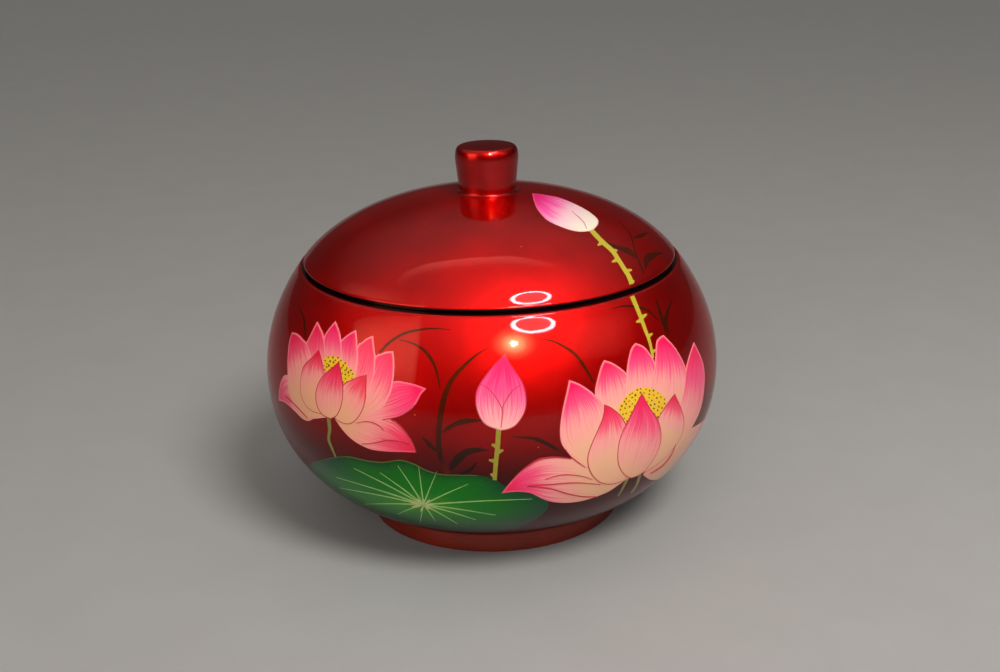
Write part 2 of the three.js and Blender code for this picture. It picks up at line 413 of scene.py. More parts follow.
class Surface:
    """The outside of a turned body, which the painting lies on."""

    NEAREST = 0.38
    FURTHEST = 0.66
    STEPS = 700
    HALVINGS = 30
    MISS = 3 * MM

    def __init__(self, outline, body):
        self.radius, self.height = outline.T
        self.body = body
        ahead = np.gradient(outline, axis=0)
        self.facing = np.stack([ahead[:, 1], -ahead[:, 0]]) / np.linalg.norm(ahead, axis=1)

    def outside(self, places):
        """How far places lie outside the body, below zero where they lie inside it."""
        heights = np.clip(places[..., 2], self.height[0], self.height[-1])
        radial = np.hypot(places[..., 0], places[..., 1])
        radial -= np.interp(heights, self.height, self.radius)
        past = np.abs(places[..., 2] - heights)
        return np.where(past > 0, np.hypot(np.maximum(radial, 0), past), radial)

    def meet(self, pixels):
        """Where the view rays through pixels meet the surface, and its normals there. A ray
        that just misses the body meets it at the edge that it passes."""
        pixels = np.asarray(pixels, float).reshape(-1, 2)
        rays = view_rays(pixels)
        distances = np.linspace(self.NEAREST, self.FURTHEST, self.STEPS)
        outside = self.outside(CAMERA_PLACE + rays[:, None] * distances[None, :, None])
        missed = (outside > 0).all(axis=1)
        passed = outside.argmin(axis=1)
        if missed.any() and outside[missed].min(axis=1).max() > self.MISS:
            worst = pixels[missed][outside[missed].min(axis=1).argmax()]
            raise ValueError(f"pixel {worst} misses the {self.body}")
        first = (outside <= 0).argmax(axis=1)
        near, far = distances[first - 1], distances[first]
        for _ in range(self.HALVINGS):
            middle = (near + far) / 2
            inside_now = self.outside(CAMERA_PLACE + rays * middle[:, None]) <= 0
            far = np.where(inside_now, middle, far)
            near = np.where(inside_now, near, middle)
        places = CAMERA_PLACE + rays * np.where(missed, distances[passed], far)[:, None]
        places[:, 2] = np.clip(places[:, 2], self.height[0], self.height[-1])
        return self.at(np.arctan2(places[:, 1], places[:, 0]), places[:, 2])

    def at(self, bearings, heights):
        """The places on the surface at bearings and heights, and its normals there."""
        reach = np.interp(heights, self.height, self.radius)
        outwards, upwards = (np.interp(heights, self.height, part) for part in self.facing)
        places = np.stack([reach * np.cos(bearings), reach * np.sin(bearings), heights], axis=1)
        across, away = outwards * np.cos(bearings), outwards * np.sin(bearings)
        normals = np.stack([across, away, upwards], axis=1)
        return places, normals / np.linalg.norm(normals, axis=1)[:, None]

    def unrolled(self, spots):
        """As meet, for spots by bearing in degrees and height in millimetres."""
        return self.at(np.radians(spots[:, 0]), spots[:, 1] * MM)

    def rolled(self, pixels):
        """The bearings in degrees and heights in millimetres of the places at pixels."""
        places = self.meet(pixels)[0]
        bearings = np.degrees(np.arctan2(places[:, 1], places[:, 0]))
        return np.stack([bearings, places[:, 2] / MM], axis=1)

    def mirrored(self, pixels, distance):
        """The places, at a distance from the surface, whose mirror images lie at pixels."""
        pixels = np.asarray(pixels, float).reshape(-1, 2)
        places, normals = self.meet(pixels)
        rays = view_rays(pixels)
        return places + distance * (rays - 2 * (rays * normals).sum(axis=1)[:, None] * normals)


def smooth_line(points, count):
    """A smooth line through points, resampled at even steps of its length."""
    points = np.asarray(points, float)
    if len(points) == 2:
        return points[0] + np.linspace(0, 1, count)[:, None] * (points[1] - points[0])
    padded = np.vstack([2 * points[0] - points[1], points, 2 * points[-1] - points[-2]])
    t = np.linspace(0, 1, LINE_STEPS, endpoint=False)[:, None]
    stretches = []
    for a, b, c, d in zip(padded, padded[1:], padded[2:], padded[3:]):
        stretches.append(b + 0.5 * t * (c - a) + t**2 * (a - 2.5 * b + 2 * c - 0.5 * d)
                         + t**3 * (1.5 * (b - c) + 0.5 * (d - a)))
    line = np.vstack(stretches + [points[-1]])
    lengths = np.concatenate([[0], np.cumsum(np.linalg.norm(np.diff(line, axis=0), axis=1))])
    wanted = np.linspace(0, lengths[-1], count)
    return np.stack([np.interp(wanted, lengths, line[:, i]) for i in (0, 1)], axis=1)


def distance_to_line(places, line):
    """The distance of each place from a line of points."""
    start, along = line[:-1], np.diff(line, axis=0)
    square = np.maximum((along**2).sum(axis=1), SMALLEST_SQUARE)
    offset = places[:, None] - start[None]
    share = np.clip((offset * along).sum(axis=2) / square, 0, 1)
    return np.linalg.norm(offset - share[..., None] * along, axis=2).min(axis=1)


class Painting:
    """Strokes of paint on one body, gathered into one piece."""

    FIELDS = ("along", "across", "edge", "pink", "rim", "crimson", "white", "seed")
    FEWEST_ROWS = 4
    DOT_CORNERS = 8

    def __init__(self, name, surface, layer):
        self.name = name
        self.surface = surface
        self.layer = layer
        self.points = []
        self.faces = []
        self.numbers = []
        self.values = {field: [] for field in self.FIELDS}
        self.looks = []

    def shell(self, grid, look, wrap=False, lay=None, **values):
        """Lays a grid of pixels, or of such spots as lay takes, on the surface as a thin
        closed layer of paint: an outer and an inner skin and a border between them."""
        rows, columns = grid.shape[:2]
        places, normals = (lay or self.surface.meet)(grid.reshape(-1, 2))
        lift = PAINT_LIFT + self.layer * PAINT_STEP
        self.layer += 1
        outer = sum(len(block) for block in self.points)
        inner = outer + rows * columns
        self.points += [places + lift * normals, places + PAINT_ROOT * normals]
        if look not in self.looks:
            self.looks.append(look)

        faces = [[skin + corner for corner in face]
                 for face in grid_faces(rows, columns, wrap) for skin in (outer, inner)]
        last_row = (rows - 1) * columns
        if wrap:
            border = [(last_row + i, last_row + (i + 1) % columns) for i in range(columns)]
        else:
            border = [(row + i, row + i + 1) for row in (last_row, 0) for i in range(columns - 1)]
            border += [(row + i, row + columns + i) for row in range(0, last_row, columns)
                       for i in (0, columns - 1)]
        faces += [[outer + a, outer + b, inner + b, inner + a] for a, b in border]
        self.faces += faces
        self.numbers += [self.looks.index(look)] * len(faces)
        for field in self.FIELDS:
            value = np.broadcast_to(values.get(field, 0.0), (rows, columns)).ravel()
            self.values[field] += [value, value]

    def object(self):
        """Makes the finished piece, which moves with its body."""
        mesh = bpy.data.meshes.new(self.name)
        mesh.from_pydata(np.vstack(self.points).tolist(), [], self.faces)
        mesh.polygons.foreach_set("material_index", self.numbers)
        for field in self.FIELDS:
            attribute = mesh.attributes.new(field, "FLOAT", "POINT")
            value = np.concatenate(self.values[field]).astype(np.float32)
            attribute.data.foreach_set("value", value)
        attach(finished(mesh, self.name, self.looks), self.surface.body)

    def petal(self, look, tip, left, right, base, lay=None, rows=36, columns=18, **values):
        """A petal between two edges that run from its tip to its base."""
        lay = lay or self.surface.meet
        left_line = smooth_line([tip, *left, base], rows)
        right_line = smooth_line([tip, *right, base], rows)
        share = 0.5 - 0.5 * np.cos(np.linspace(0, math.pi, columns))
        grid = left_line[:, None] + share[None, :, None] * (right_line - left_line)[:, None]
        places = lay(grid.reshape(-1, 2))[0]
        edges = [lay(line)[0] for line in (left_line, right_line)]
        edge = np.minimum(*[distance_to_line(places, line) for line in edges])
        along = np.linspace(1, 0, rows)[:, None]
        across = (2 * share - 1)[None, :]
        self.shell(grid, look, lay=lay, along=along, across=across,
                   edge=edge.reshape(rows, columns) / MM, seed=self.layer, **values)

    def stroke(self, look, points, widths, spacing=3.0, **values):
        """A brush stroke of changing width through points, widths in pixels."""
        rough = np.asarray(points, float)
        length = np.linalg.norm(np.diff(rough, axis=0), axis=1).sum()
        rows = max(self.FEWEST_ROWS, int(length / spacing) + 1)
        line = smooth_line(points, rows)
        ahead = np.gradient(line, axis=0)
        side = np.stack([-ahead[:, 1], ahead[:, 0]], axis=1)
        side /= np.linalg.norm(side, axis=1)[:, None]
        along = np.linspace(0, 1, rows)
        half = np.interp(along, np.linspace(0, 1, len(widths)), widths)[:, None] / 2
        grid = np.stack([line - half * side, line, line + half * side], axis=1)
        self.shell(grid, look, along=along[:, None], seed=self.layer, **values)

    def fan(self, look, centre, outline, rings, columns, **values):
        """A patch that spreads from a centre to a closed outline."""
        centre = np.array(centre, float)
        offset = smooth_line([*outline, outline[0]], columns + 1)[:-1] - centre
        share = np.linspace(0, 1, rings)[:, None, None]
        bearing = np.arctan2(offset[:, 1], offset[:, 0])[None, :]
        self.shell(centre + share * offset[None], look, wrap=True, along=share[..., 0],
                   across=bearing, seed=self.layer, **values)

    def dot(self, look, centre, radius, squash):
        """A small round dab of paint, which takes no layer of its own."""
        bearings = np.linspace(0, 2 * math.pi, self.DOT_CORNERS, endpoint=False)
        ring = np.stack([np.cos(bearings), squash * np.sin(bearings)], axis=1) * radius
        grid = np.stack([np.tile(centre, (self.DOT_CORNERS, 1)), centre + ring])
        layer = self.layer
        self.shell(grid, look, wrap=True)
        self.layer = layer


def linear(value):
    """A colour channel from 0 to 255, as the linear light that it stands for."""
    share = value / 255
    return share / 12.92 if share <= 0.04045 else ((share + 0.055) / 1.055) ** 2.4


def colour(red, green, blue):
    return (linear(red), linear(green), linear(blue), 1)


class Nodes:
    """Short ways to add and join the nodes of a material, a lamp or the world."""

    def __init__(self, owner, main_type):
        owner.use_nodes = True
        self.tree = owner.node_tree
        self.shader = next(n for n in self.tree.nodes if n.type == main_type)

    def add(self, kind, inputs=(), **settings):
        made = self.tree.nodes.new(kind)
        for key, value in settings.items():
            setattr(made, key, value)
        for key, value in dict(inputs).items():
            self.put(made.inputs[key], value)
        return made

    def put(self, socket, value):
        if isinstance(value, bpy.types.NodeSocket):
            self.tree.links.new(value, socket)
        else:
            socket.default_value = value

    def set(self, **values):
        """Sets the shader's sockets, whose names are written with underscores."""
        for key, value in values.items():
            self.put(self.shader.inputs[key.replace("_", " ")], value)

    def field(self, name):
        return self.add("ShaderNodeAttribute", attribute_name=name).outputs["Fac"]

    def math(self, operation, first, second=0.0, third=0.0):
        inputs = {0: first, 1: second, 2: third}
        return self.add("ShaderNodeMath", inputs, operation=operation).outputs[0]

    def plus(self, first, second):
        return self.math("ADD", first, second)

    def minus(self, first, second):
        return self.math("SUBTRACT", first, second)

    def times(self, first, second):
        return self.math("MULTIPLY", first, second)

    def spread(self, value, low, high, to_low=0.0, to_high=1.0):
        """Maps a value from one range to another, smoothly and within its ends."""
        made = self.add("ShaderNodeMapRange", {0: value, 1: low, 2: high, 3: to_low, 4: to_high},
                        interpolation_type="SMOOTHSTEP")
        return made.outputs[0]

    def mix(self, share, first, second):
        made = self.add("ShaderNodeMix", data_type="RGBA")
        for socket, value in zip((made.inputs[0], made.inputs[6], made.inputs[7]),
                                 (share, first, second)):
            self.put(socket, value)
        return made.outputs[2]

    def ramp(self, share, stops):
        made = self.add("ShaderNodeValToRGB", {0: share})
        elements = made.color_ramp.elements
        while len(elements) < len(stops):
            elements.new(0.5)
        for element, (position, shade) in zip(elements, stops):
            element.position = position
            element.color = shade
        return made.outputs[0]


class Look(Nodes):
    """A material and the patterns that it is mixed from."""

    def __init__(self, name):
        self.material = bpy.data.materials.new(name)
        super().__init__(self.material, "BSDF_PRINCIPLED")
        self.place = self.add("ShaderNodeTexCoord").outputs["Object"]

    def noise(self, scale, detail, where=None):
        inputs = {"Scale": scale, "Detail": detail, "Vector": where or self.place}
        return self.add("ShaderNodeTexNoise", inputs).outputs["Fac"]

    def height(self):
        """The height above the floor, since every piece is made in its own place."""
        return self.add("ShaderNodeSeparateXYZ", {0: self.place}).outputs[2]

    def vector(self, x, y, z=0.0):
        return self.add("ShaderNodeCombineXYZ", {0: x, 1: y, 2: z}).outputs[0]

    def bump(self, height, strength, distance):
        return self.add("ShaderNodeBump", {"Height": height, "Strength": strength,
                                           "Distance": distance}).outputs["Normal"]

    def gloss(self, peel=0.02):
        """The clear top coat: glass smooth, with a faint ripple."""
        ripple = self.bump(self.noise(170, 1.0), peel, 0.6 * MM)
        self.set(Coat_Normal=ripple, Coat_Weight=0.75, Coat_Roughness=0.035, Coat_IOR=1.4)


def specks(look, scale, size):
    """A mask of sparse round specks, such as dust caught in the lacquer."""
    cells = look.add("ShaderNodeTexVoronoi", {"Vector": look.place, "Scale": scale})
    near = look.spread(cells.outputs["Distance"], size, size * 0.4)
    chosen = look.add("ShaderNodeSeparateColor", {0: cells.outputs["Color"]}).outputs[0]
    return look.times(near, look.math("GREATER_THAN", chosen, 0.93))


def red_lacquer(name, sheen=(0.44, 0.5)):
    """Deep red over a metallic ground, with painted shade that darkens it towards the foot, under a
    clear coat.
    """
    look = Look(name)
    cloud = look.noise(38, 3.0)
    flake = look.noise(2600, 1.0)
    tone = look.plus(look.times(cloud, 0.7), look.times(flake, 0.3))
    red = look.mix(look.spread(tone, 0.35, 0.65), colour(150, 5, 4), colour(176, 8, 6))
    # Painted shade: the red darkens from just above the belly down towards the foot
    height = look.height()
    wander = look.times(look.minus(look.noise(25, 2.0), 0.5), 8 * MM)
    level = look.math("DIVIDE", look.plus(height, wander), BELLY_HEIGHT)
    painted_shade = look.ramp(level, [(0.1, colour(28, 3, 2)), (0.4, colour(48, 3, 2)),
                             (0.8, colour(78, 3, 2))])
    red = look.mix(look.spread(level, 1.14, 0.78), red, painted_shade)
    dust = look.times(specks(look, 260, 0.10), 0.5)
    look.set(Base_Color=look.mix(dust, red, colour(214, 150, 140)), Metallic=0.93,
             Roughness=look.spread(flake, 0.3, 0.7, *sheen), Specular_Tint=(0.9, 0.2, 0.15, 1),
             Normal=look.bump(flake, 0.02, 0.1 * MM))
    look.gloss()
    return look.material


def foot_lacquer():
    """The foot's lacquer: browner, duller and scuffed where the bowl is set down."""
    look = Look("foot_lacquer")
    scuff = look.add("ShaderNodeMapping", {0: look.place, "Scale": (1, 1, 6)}).outputs[0]
    marks = look.noise(220, 5.0, scuff)
    cloud = look.noise(60, 2.0)
    red = look.mix(cloud, colour(104, 20, 6), colour(146, 40, 14))
    height = look.height()
    worn = look.times(look.spread(height, 2.0 * MM, 0.2 * MM), look.spread(marks, 0.5, 0.62))
    red = look.mix(look.times(worn, 0.6), red, colour(70, 30, 20))
    look.set(Base_Color=red, Metallic=0.6, Roughness=look.spread(marks, 0.3, 0.7, 0.38, 0.6),
             Normal=look.bump(marks, 0.15, 0.15 * MM),
             Coat_Weight=0.5, Coat_Roughness=0.18, Coat_IOR=1.5)
    return look.material


def black_lacquer():
    """Black lacquer, with the faint rings that polishing on the lathe leaves."""
    look = Look("black_lacquer")
    cloud = look.noise(45, 3.0)
    black = look.mix(cloud, colour(8, 2, 2), colour(20, 6, 5))
    rings = look.add("ShaderNodeTexWave", {"Vector": look.place, "Scale": 180, "Distortion": 1.5},
                     wave_type="RINGS", rings_direction="Z").outputs["Fac"]
    look.set(Base_Color=black, Roughness=look.spread(rings, 0, 1, 0.3, 0.4),
             Specular_IOR_Level=0.1, Normal=look.bump(rings, 0.04, 0.05 * MM))
    look.gloss(0.04)
    return look.material


def bare_wood():
    """The dowel's pale wood, with grain along it."""
    look = Look("bare_wood")
    grain = look.add("ShaderNodeMapping", {0: look.place, "Scale": (1, 1, 0.08)}).outputs[0]
    fibre = look.noise(1500, 5.0, grain)
    wood = look.ramp(fibre, [(0.3, colour(150, 104, 60)), (0.7, colour(201, 158, 108))])
    look.set(Base_Color=wood, Roughness=look.spread(fibre, 0.3, 0.7, 0.6, 0.8),
             Normal=look.bump(fibre, 0.3, 0.1 * MM))
    return look.material


def painted(look, shade):
    """Finishes a paint with its colour and the clear coat over it."""
    body = look.noise(900, 2.0)
    look.set(Base_Color=shade, Roughness=0.35, Specular_IOR_Level=0.05,
             Normal=look.bump(body, 0.1, 0.05 * MM))
    look.gloss()
    return look.material


def petal_paint():
    """Pink from the tip that is combed out in fine hairs into cream at the base."""
    look = Look("petal_paint")
    along, across, edge, pink, rim, crimson, white, seed = map(look.field, Painting.FIELDS)
    offset = look.times(seed, 7.3)

    hairs_at = look.vector(look.math("MULTIPLY_ADD", across, 9.0, offset), along)
    hairs = look.noise(2.2, 3.0, hairs_at)
    depth = look.math("DIVIDE", look.minus(1.0, along), pink)
    depth = look.plus(depth, look.times(look.minus(hairs, 0.5), 0.9))
    share = look.math("DIVIDE", depth, 1.6)

    tip = look.mix(crimson, colour(238, 24, 84), colour(222, 26, 54))
    tip = look.mix(white, tip, colour(232, 26, 118))
    middle = look.mix(crimson, colour(242, 68, 112), colour(236, 72, 92))
    middle = look.mix(white, middle, colour(250, 96, 168))
    pale = look.mix(white, colour(244, 146, 138), colour(246, 200, 206))
    base = look.mix(white, colour(234, 164, 124), colour(240, 228, 206))
    shade = look.mix(look.spread(share, 0.08, 0.38), tip, middle)
    shade = look.mix(look.spread(share, 0.32, 0.62), shade, pale)
    shade = look.mix(look.spread(share, 0.55, 0.95), shade, base)

    lines_at = look.vector(look.math("MULTIPLY_ADD", across, 16.0, offset), look.times(along, 0.7))
    lines = look.spread(look.noise(2.0, 2.0, lines_at), 0.56, 0.66)
    window = look.times(look.spread(share, 0.05, 0.3), look.spread(share, 0.85, 0.5))
    window = look.times(window, look.minus(0.5, look.times(white, 0.4)))
    shade = look.mix(look.times(lines, window), shade, colour(196, 40, 78))

    pale_rim = look.times(look.spread(edge, 0.9, 0.25), look.times(rim, 0.75))
    shade = look.mix(look.math("MAXIMUM", pale_rim, 0.0), shade, colour(246, 142, 146))
    drawn_rim = look.math("MAXIMUM", look.times(rim, -1.0), 0.0)
    drawn_rim = look.times(look.spread(edge, 0.42, 0.24), drawn_rim)
    return painted(look, look.mix(drawn_rim, shade, colour(176, 36, 50)))


# Plain paints, and the two shades that each wanders between
FLAT_PAINTS = {
    "petal_line_paint": (colour(186, 44, 58), colour(170, 50, 60)),
    "heart_paint": (colour(236, 190, 50), colour(226, 170, 42)),
    "heart_dot_paint": (colour(92, 74, 10), colour(122, 96, 16)),
    "vein_paint": (colour(172, 202, 128), colour(122, 176, 78)),
    "leaf_heart_paint": (colour(206, 190, 142), colour(186, 188, 110)),
    "leaf_edge_paint": (colour(92, 96, 40), colour(60, 90, 30)),
    "stem_paint": (colour(130, 118, 30), colour(154, 140, 50)),
    # Stem paint darkened as painted shade, for the stems low on the bowl
    "shaded_stem_paint": (colour(112, 104, 44), colour(140, 130, 66)),
    "lid_stem_paint": (colour(168, 160, 26), colour(198, 172, 66)),
}


def flat_paint(name, first, second):
    """A paint of one hue, uneven as a brush leaves it."""
    look = Look(name)
    return painted(look, look.mix(look.noise(500, 3.0), first, second))


def grass_paint():
    """Thin brown-black over the metallic red, which shows through at the strokes' ends, with
    painted shade that darkens it low on the bowl.
    """
    look = Look("grass_paint")
    shade = look.mix(look.noise(420, 3.0), colour(58, 14, 2), colour(88, 30, 4))
    # Painted shade: the strokes darken low on the bowl, as the lacquer does
    low = look.spread(look.height(), 1.15 * BELLY_HEIGHT, 0.8 * BELLY_HEIGHT)
    shade = look.mix(low, shade, colour(22, 8, 2))
    ends = look.math("ABSOLUTE", look.math("MULTIPLY_ADD", look.field("along"), 2.0, -1.0))
    shade = look.mix(look.spread(ends, 0.7, 1.0), shade, colour(110, 8, 4))
    look.set(Base_Color=shade, Metallic=0.85, Roughness=0.6, Specular_Tint=(0.9, 0.3, 0.15, 1))
    look.gloss()
    return look.material


def leaf_paint():
    """The leaf: yellow-green at its heart, deep green outwards, with combed hairs, and painted
    shade that darkens its two ends and its lower edge.
    """
    look = Look("leaf_paint")
    along, bearing = look.field("along"), look.field("across")
    cosine, sine = look.math("COSINE", bearing), look.math("SINE", bearing)
    hairs_at = look.vector(look.times(cosine, 30.0), look.times(sine, 30.0), along)
    hairs = look.noise(1.0, 4.0, hairs_at)
    reach = look.plus(along, look.times(look.minus(hairs, 0.5), 0.25))
    shade = look.ramp(reach, [(0.0, colour(126, 150, 40)), (0.12, colour(52, 130, 12)),
                              (0.4, colour(0, 112, 8)), (0.82, colour(0, 92, 10)),
                              (1.0, colour(0, 56, 18))])
    # Painted shade: the leaf's outer parts at its two ends are darker
    sides = look.spread(look.math("ABSOLUTE", cosine), 0.7, 1.0)
    ends = look.times(look.spread(along, 0.55, 1.0), sides)
    shade = look.mix(look.times(ends, 0.6), shade, colour(2, 62, 40))
    # Painted shade: darker towards the leaf's lower edge
    low = look.spread(look.height(), 33 * MM, 17 * MM, 0.0, 0.85)
    return painted(look, look.mix(low, shade, colour(0, 30, 8)))


# Petals of the left flower, back to front, in pixels: tip, left edge, right edge and base;
# then how far down the pink reaches, the rim (1 pale, -1 drawn dark) and how red the tip is
LEFT_PETALS = [
    ((278.8, 400.3), [(279.4, 389.4), (281.8, 379.7), (286.7, 374.8), (296, 384), (310, 402)],
     [(285.4, 402.7), (295.1, 411.2), (302.4, 418.4), (308.5, 420.9), (315.7, 417.8)],
     (325, 415), 0.4, 0.7, 0.2),
    ((416.4, 452.4), [(402.7, 451.9), (387.3, 451.4), (372, 449.4), (359.8, 444.3), (349.6, 437.1),
      (341.4, 428)],
     [(412.9, 443.3), (406.7, 433.1), (399.6, 424.9), (391.4, 419.3), (370, 414), (350, 414)],
     (335.3, 419), 0.58, 0.3, 0.6),
    ((426.6, 388.8), [(417.5, 385.1), (405.4, 382.1), (393.3, 381.5), (375, 392), (355, 408)],
     [(421.2, 394.2), (415.1, 405.1), (405.4, 413.6), (395.7, 417.8), (378, 420), (358, 421)],
     (340, 419), 0.67, 0.5, 0.0),
    ((393.3, 351.2), [(386, 351.8), (380, 354.2), (375.7, 356.6), (362, 378), (346, 404)],
     [(394.2, 358), (394.5, 367.5), (393.3, 380.9), (389, 397), (376, 412)],
     (342, 419), 0.58, 1.0, 0.2),
    ((373.3, 335.8), [(366.6, 338.5), (361.8, 342.7), (358.1, 345.7), (348, 370), (340, 400)],
     [(374, 343.3), (375.1, 351.8), (375.7, 358), (373, 380), (361, 402)],
     (338, 418), 0.66, 1.0, 0.3),
    ((356.3, 330), [(349.7, 333.6), (343.6, 338.5), (340.5, 343), (337, 365), (335, 395)],
     [(357, 336), (357.6, 344.5), (358, 365), (350, 395)],
     (336, 418), 0.45, 1.0, 0.1),
    ((335.7, 321.3), [(330.3, 327.6), (325.4, 334.8), (323, 345), (322, 365), (326, 395)],
     [(338.8, 328.8), (341.2, 339.5), (343, 365), (340, 395)],
     (334, 418), 0.42, 1.0, 0.0),
    ((317.6, 321.7), [(313.3, 330), (308.5, 339.7), (306, 345), (305, 365), (313, 395)],
     [(321.2, 328.8), (324.4, 337.5), (327, 360), (330, 390)],
     (332, 418), 0.46, 1.0, 0.5),
    ((292.5, 332.4), [(289.7, 342.1), (288.1, 357.9), (288.1, 372.4), (288.5, 384.5),
      (290.3, 395.4), (296.3, 406.3), (308.5, 418)],
     [(297.6, 333.6), (303.6, 339.7), (308, 345.5), (314, 365), (321, 395)],
     (330, 417), 0.38, 0.9, 0.4),
]
LEFT_INNER_PETALS = [
    ((367.2, 374.8), [(359.4, 376.6), (352.1, 379.7), (344.8, 383.3), (338, 395), (335, 410)],
     [(366.6, 386.9), (366, 399.1), (363, 410), (356.9, 419.6), (349.7, 424), (342, 422.5)],
     (335.5, 418.5), 0.5, -0.8, 0.9),
    ((319.4, 349.4), [(313.3, 356.6), (304.8, 365.1), (301.8, 374.8), (300.6, 384.5),
      (301.8, 395.4), (306, 405.1), (313.3, 411.5)],
     [(321.8, 357.9), (324.2, 368.8), (327, 385), (328, 402)],
     (324, 414.5), 0.42, -0.7, 0.9),
    ((339.4, 361.5), [(332.7, 367.5), (325.4, 373.6), (319.4, 382.1), (316.3, 391.8),
      (316.3, 399.1), (318.2, 407.5), (323, 414.8)],
     [(341.2, 370), (343.6, 384.5), (343.6, 395.4), (341.8, 406.3), (337.5, 415.5)],
     (331.5, 419), 0.62, -1.0, 0.6),
]
LEFT_HEART = [
    (325, 369.5), (324, 359.5), (329.5, 356.3), (338.8, 357.5), (344.8, 362.2), (350.9, 369.5),
    (355.4, 376), (345, 384), (335, 380),
]
LEFT_HEART_CENTRE = (337, 371)

RIGHT_PETALS = [
    ((501.5, 493.1), [(511.4, 480.8), (520.6, 471.6), (532.9, 462.5), (542, 458.6), (555.8, 457.1),
      (572.7, 458.6), (600, 465)],
     [(510, 491.8), (520.6, 491.5), (531.3, 493.1), (540.5, 497.7), (551.2, 501.5), (566.5, 502.6),
      (581.8, 500.7), (597.1, 496.1), (609.4, 490.8), (621.6, 482.4)],
     (630, 477), 0.47, 0.4, 0.2),
    ((604, 360.1), [(601, 366), (597.1, 379.8), (595, 392), (597, 410), (608, 445)],
     [(612.5, 363), (621.6, 369.1), (627, 375), (634, 395), (638, 430)],
     (632, 475), 0.34, 1.0, 0.4),
    ((635, 343.1), [(630.8, 349.2), (627.8, 361.4), (626.2, 375), (624, 400), (628, 440)],
     [(643.1, 346.1), (650.7, 355.3), (655.5, 365), (660, 388), (657, 425), (648, 455)],
     (638, 475), 0.33, 1.0, 0.0),
    ((663, 335), [(656.8, 340), (655.4, 352.2), (654.6, 366), (651, 390), (647, 425)],
     [(673.7, 346.1), (681.3, 358.4), (685.6, 370), (688, 392), (680, 425), (664, 455)],
     (643, 475), 0.37, 1.0, 0.0),
    ((693.6, 342.3), [(689.5, 354), (685.6, 370), (683, 392), (674, 422), (660, 452)],
     [(700.5, 356.8), (704, 370.6), (703.5, 390.5), (699.7, 410.4), (689, 431.8), (675, 453)],
     (648, 475), 0.49, 1.0, 0.0),
    ((569, 380), [(566.5, 392), (563, 407), (560.1, 425.7), (560.5, 440), (564, 448), (571.5, 457),
      (584.9, 467), (600, 474)],
     [(578.8, 383.6), (589.5, 390.5), (597, 397.5), (603, 405), (610, 425), (616, 455)],
     (620, 479), 0.43, 1.0, 0.1),
]
# The petal that runs round the bowl's side, by bearing in degrees and height in millimetres
SIDE_PETAL = (
    (-7, 35), [(-12, 40.5), (-19, 43.6), (-27, 46.6), (-34, 48.2), (-42, 45)],
     [(-12.5, 31), (-21, 28), (-29, 26.6), (-36, 27), (-41, 29.4), (-46, 33)],
     (-50.2, 37.5), 0.42, 0.7, 0.2
)
RIGHT_INNER_PETALS = [
    ((674.4, 393.6), [(670.6, 398.2), (663, 408.9), (658.5, 417), (652, 440), (646, 462)],
     [(679.8, 405.8), (683.2, 416.5), (683.2, 427.3), (679.8, 438), (673.7, 447.1), (663, 459.4),
      (651, 468)],
     (643.1, 473.2), 0.33, -0.8, 0.9),
    ((604, 404.3), [(602.5, 416.5), (597.1, 430.3), (591, 444.1), (587.2, 456.3), (588, 467),
      (592.6, 476.2), (600.2, 482.4), (610.9, 483.9)],
     [(610.9, 407.3), (620.1, 415), (625, 423), (632, 440), (634, 462)],
     (624, 480.5), 0.42, -1.0, 0.9),
    ((641.5, 392.8), [(635.4, 404.3), (627.8, 419.6), (621.6, 431.8), (617.8, 445.6), (617, 459.4),
      (619.3, 468.6), (624.7, 475.5)],
     [(649.2, 407.3), (656.8, 418.1), (660.2, 428.8), (660.7, 439.5), (657.6, 450.2),
      (650.7, 462.5), (643.1, 471.6), (636, 476)],
     (630.1, 477.8), 0.62, -1.0, 0.3),
]
RIGHT_HEART = [
    (626, 422), (620.5, 415), (618, 408.5), (624.7, 397.6), (632.4, 390.8), (640.8, 387.6),
    (650.7, 388.4), (659.9, 393), (665.8, 401.2), (660, 416), (650, 420), (636, 420),
]
RIGHT_HEART_CENTRE = (642, 407)

BOWL_BUD = [
    ((504.9, 353.3), [(500.7, 358), (494.2, 364.4), (486.8, 373.7), (480.8, 382), (476.7, 390.3),
      (475.5, 399.6), (476.7, 408.8), (480.4, 418.1), (486.8, 425.5)],
     [(509, 361.7), (514.6, 370), (521.1, 379.2), (524.8, 388.5), (526.3, 397.7), (525.7, 407.9),
      (522, 417.2), (515.5, 425.5), (508.1, 429.2)],
     (500.7, 430.5), 0.86, -0.6, 0.1),
]
LID_BUD = [
    ((532.1, 193.6), [(533.8, 201.1), (537.2, 209.1), (545.3, 218.9), (554.4, 224), (565.9, 228.6),
      (577.4, 231.5), (587.7, 231.3)],
     [(543, 194.8), (557.9, 197.6), (571.7, 202.8), (584.3, 209.1), (593.5, 215.4), (598.1, 220.6),
      (597.5, 225.2)],
     (593.5, 229.5), 0.58, 0.3, 0.0),
]

# How white the petals are towards their base
WHITENESS = {"lotus_left": 0.0, "lotus_right": 0.12, "bud_bowl": 0.3, "bud_lid": 1.0}

